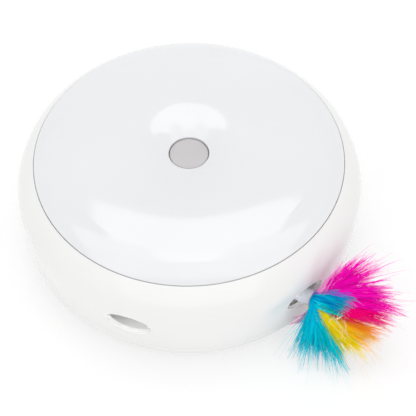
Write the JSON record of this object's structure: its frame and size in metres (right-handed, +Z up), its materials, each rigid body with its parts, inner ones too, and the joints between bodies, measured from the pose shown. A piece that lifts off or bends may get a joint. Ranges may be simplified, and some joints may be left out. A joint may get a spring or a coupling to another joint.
{
  "type": "pop-out feather cat toy",
  "caption": "Round white housing with windows in its side; a motor pushes a feather on a rack arm out of one. Lid, push button, battery door.",
  "frame": {"origin": "centre of the rubber ring that the toy stands on, on the housing's axis", "axes": "+Z up along the housing's axis; -Y is the front; the feather comes out towards +X and -Y"},
  "size_m": [0.1935, 0.1971, 0.0649],
  "materials": {
    "housing_white": "gloss",
    "lid_white": "high gloss",
    "button_grey": "satin",
    "rubber_grey": "matt",
    "tray_white": "fine texture",
    "inner_plastic": "satin",
    "gear_plastic": "satin",
    "steel": "plain",
    "nickel": "plated",
    "cell_jacket": "printed film, plain",
    "motor_metal": "plated",
    "black_plastic": "satin",
    "brass": "machined",
    "felt": "felt",
    "board_green": "solder mask",
    "lead_jacket": "insulation",
    "led_lens": "diffuse",
    "sleeve_clear": "translucent",
    "collar_white": "gloss",
    "feather": "dyed down"
  },
  "bodies": {
    "base": {"body_shell": "housing_white", "base_tray": "tray_white", "anti_slip_ring": "rubber_grey", "case_screws": "steel", "center_column": "inner_plastic", "retaining_clip": "steel", "battery_cells": "cell_jacket", "battery_contacts": "nickel", "battery_springs": "nickel", "gearbox_case": "black_plastic", "motor_can": "motor_metal", "motor_endcap": "black_plastic", "motor_bracket": "steel", "drive_screws": "steel", "pawl_pin": "steel", "pawl_spring": "steel", "button_spring": "steel", "button_guide": "inner_plastic", "tact_switch": "black_plastic", "pcb_carrier": "inner_plastic", "control_pcb": "board_green", "pcb_parts": "black_plastic", "status_led": "led_lens", "board_screws": "steel", "battery_leads": "lead_jacket", "motor_leads": "lead_jacket"},
    "lid": {"lid": "lid_white"},
    "button": {"power_button": "button_grey", "switch_plunger": "black_plastic"},
    "battery_door": {"battery_door": "tray_white"},
    "turntable": {"turntable_plate": "inner_plastic", "turntable_bush": "gear_plastic", "arm_guide": "inner_plastic", "guide_cover": "inner_plastic", "guide_screws": "steel", "clutch_spring": "steel"},
    "feather_arm": {"rack_arm": "gear_plastic", "feather_sleeve": "sleeve_clear", "feather_collar": "collar_white", "feather_tuft": "feather"},
    "rack_gear": {"rack_gear": "gear_plastic"},
    "drive_gear": {"drive_gear": "gear_plastic", "clutch_washer": "felt"},
    "motor_pinion": {"motor_pinion": "brass", "pinion_shaft": "steel"},
    "index_pawl": {"index_pawl": "gear_plastic"}
  },
  "joints": [
    {"name": "turntable_turn", "type": "hinge", "parent": "base", "child": "turntable", "pos_m": [0, 0, 0], "axis": [0, 0, 1], "range_deg": [-3, 3]},
    {"name": "arm_slide", "type": "slide", "parent": "turntable", "child": "feather_arm", "axis": [0.8685, -0.4957, 0], "range_m": [-0.062, 0], "deforming": ["feather_tuft"]},
    {"name": "rack_gear_turn", "type": "hinge", "parent": "turntable", "child": "rack_gear", "pos_m": [0, 0, 0], "axis": [0, 0, 1], "range_deg": [-143, 1]},
    {"name": "drive_gear_turn", "type": "hinge", "parent": "base", "child": "drive_gear", "pos_m": [0, 0, 0], "axis": [0, 0, 1], "range_deg": [-143, 1]},
    {"name": "motor_pinion_turn", "type": "hinge", "parent": "base", "child": "motor_pinion", "pos_m": [0, -0.024, 0], "axis": [0, 0, 1], "range_deg": [-2, 428]},
    {"name": "pawl_swing", "type": "hinge", "parent": "base", "child": "index_pawl", "pos_m": [-0.05853, -0.04911, 0.0225], "axis": [0, 0, -1], "range_deg": [0, 12], "stiffness_Nm_per_rad": 0.004, "springref_deg": -17.19},
    {"name": "button_press", "type": "slide", "parent": "base", "child": "button", "axis": [0, 0, -1], "range_m": [0, 0.001], "stiffness_N_per_m": 600, "springref_m": -0.0015, "deforming": ["button_spring"]},
    {"name": "lid_lift", "type": "slide", "parent": "base", "child": "lid", "axis": [0, 0, 1], "range_m": [0, 0.08]},
    {"name": "door_swing", "type": "hinge", "parent": "base", "child": "battery_door", "pos_m": [0, 0.0245, 0.0025], "axis": [-1, 0, 0], "range_deg": [0, 100]}
  ],
  "couplings": [
    {"joint": "rack_gear_turn", "follows": "arm_slide", "rad_per_m": 40},
    {"joint": "drive_gear_turn", "follows": "arm_slide", "rad_per_m": 40},
    {"joint": "motor_pinion_turn", "follows": "arm_slide", "rad_per_m": -120}
  ]
}
